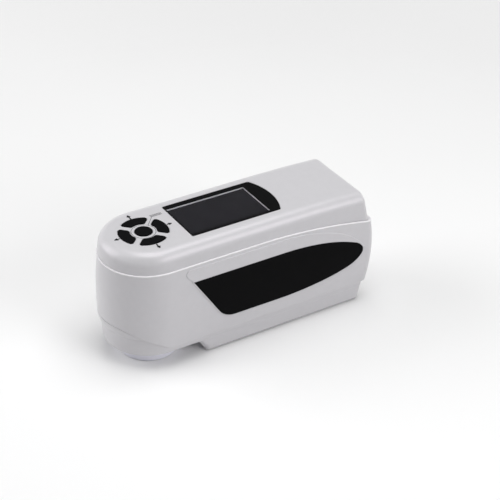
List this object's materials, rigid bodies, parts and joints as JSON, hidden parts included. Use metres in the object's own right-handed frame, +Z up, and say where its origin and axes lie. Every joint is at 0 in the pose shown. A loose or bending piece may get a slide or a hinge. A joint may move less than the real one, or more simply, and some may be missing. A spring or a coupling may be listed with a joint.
{
  "type": "handheld colorimeter",
  "caption": "Handheld colorimeter with a rounded measuring nose over a round cap, a display, a round keypad and black leaf panels in its grips.",
  "frame": {"origin": "on the rest plane below the middle of the case", "axes": "-X towards the rounded measuring nose, +X the square rear end, +Y the side with the test key, +Z up"},
  "size_m": [0.205, 0.0718, 0.0952],
  "materials": {
    "pearl_plastic": "satin pearl grey",
    "black_plastic": "fine matte",
    "black_gloss": "adhesive foam",
    "window_clear": "polished, smoked",
    "white_plastic": "satin",
    "display_block": "smooth",
    "board": "solder mask",
    "silicone": "matte",
    "steel": "zinc plated",
    "socket_metal": "stamped",
    "head_black": "matte",
    "sphere_white": "chalky matte",
    "tube_black": "black anodised",
    "lens_glass": "polished",
    "tile_white": "glazed",
    "cell_can": "wrapped",
    "foam": "open cell",
    "pad_rubber": "matte",
    "flex": "smooth"
  },
  "bodies": {
    "case": {"main_shell": "pearl_plastic", "top_cover": "pearl_plastic", "base_cover": "pearl_plastic", "near_side_panel": "black_plastic", "far_side_panel": "black_plastic", "top_cover_screws": "steel", "base_screws": "steel", "nose_screws": "steel", "display_window": "window_clear", "window_gasket": "black_gloss", "display_module": "display_block", "main_board": "board", "board_screws": "steel", "key_mat": "silicone", "test_switch_board": "board", "test_board_screws": "steel", "power_switch_housing": "black_plastic", "dc_jack": "black_plastic", "usb_socket": "socket_metal", "io_board": "board", "io_screws": "steel", "measuring_head": "head_black", "head_screws": "steel", "sphere_lower_half": "sphere_white", "sphere_upper_half": "sphere_white", "sphere_screws": "steel", "led_board": "board", "detector_tube": "tube_black", "detector_lens": "lens_glass", "sensor_board": "board", "sensor_screws": "steel", "battery_cells": "cell_can", "battery_foam": "foam", "battery_door": "pearl_plastic", "door_screws": "steel", "rest_pads": "pad_rubber", "io_ribbon": "flex"},
    "centre_key": {"centre_key": "black_plastic"},
    "front_key": {"front_key": "black_plastic"},
    "rear_key": {"rear_key": "black_plastic"},
    "near_key": {"near_key": "black_plastic"},
    "far_key": {"far_key": "black_plastic"},
    "test_key": {"test_key": "black_plastic"},
    "power_rocker": {"power_rocker": "black_plastic"},
    "calibration_cap": {"calibration_cap": "white_plastic", "white_tile": "tile_white"}
  },
  "joints": [
    {"name": "centre_key_press", "type": "slide", "parent": "case", "child": "centre_key", "axis": [0, 0, -1], "range_m": [0, 0.0006], "stiffness_N_per_m": 1500},
    {"name": "front_key_press", "type": "slide", "parent": "case", "child": "front_key", "axis": [0, 0, -1], "range_m": [0, 0.0006], "stiffness_N_per_m": 1500},
    {"name": "rear_key_press", "type": "slide", "parent": "case", "child": "rear_key", "axis": [0, 0, -1], "range_m": [0, 0.0006], "stiffness_N_per_m": 1500},
    {"name": "near_key_press", "type": "slide", "parent": "case", "child": "near_key", "axis": [0, 0, -1], "range_m": [0, 0.0006], "stiffness_N_per_m": 1500},
    {"name": "far_key_press", "type": "slide", "parent": "case", "child": "far_key", "axis": [0, 0, -1], "range_m": [0, 0.0006], "stiffness_N_per_m": 1500},
    {"name": "test_key_press", "type": "slide", "parent": "case", "child": "test_key", "axis": [0, -1, 0], "range_m": [0, 0.0006], "stiffness_N_per_m": 1500},
    {"name": "power_rocker_tilt", "type": "hinge", "parent": "case", "child": "power_rocker", "pos_m": [0.0956, -0.014, 0.047], "axis": [0, -1, 0], "range_deg": [0, 14]},
    {"name": "calibration_cap_off", "type": "slide", "parent": "case", "child": "calibration_cap", "axis": [0, 0, -1], "range_m": [0, 0.014]}
  ]
}
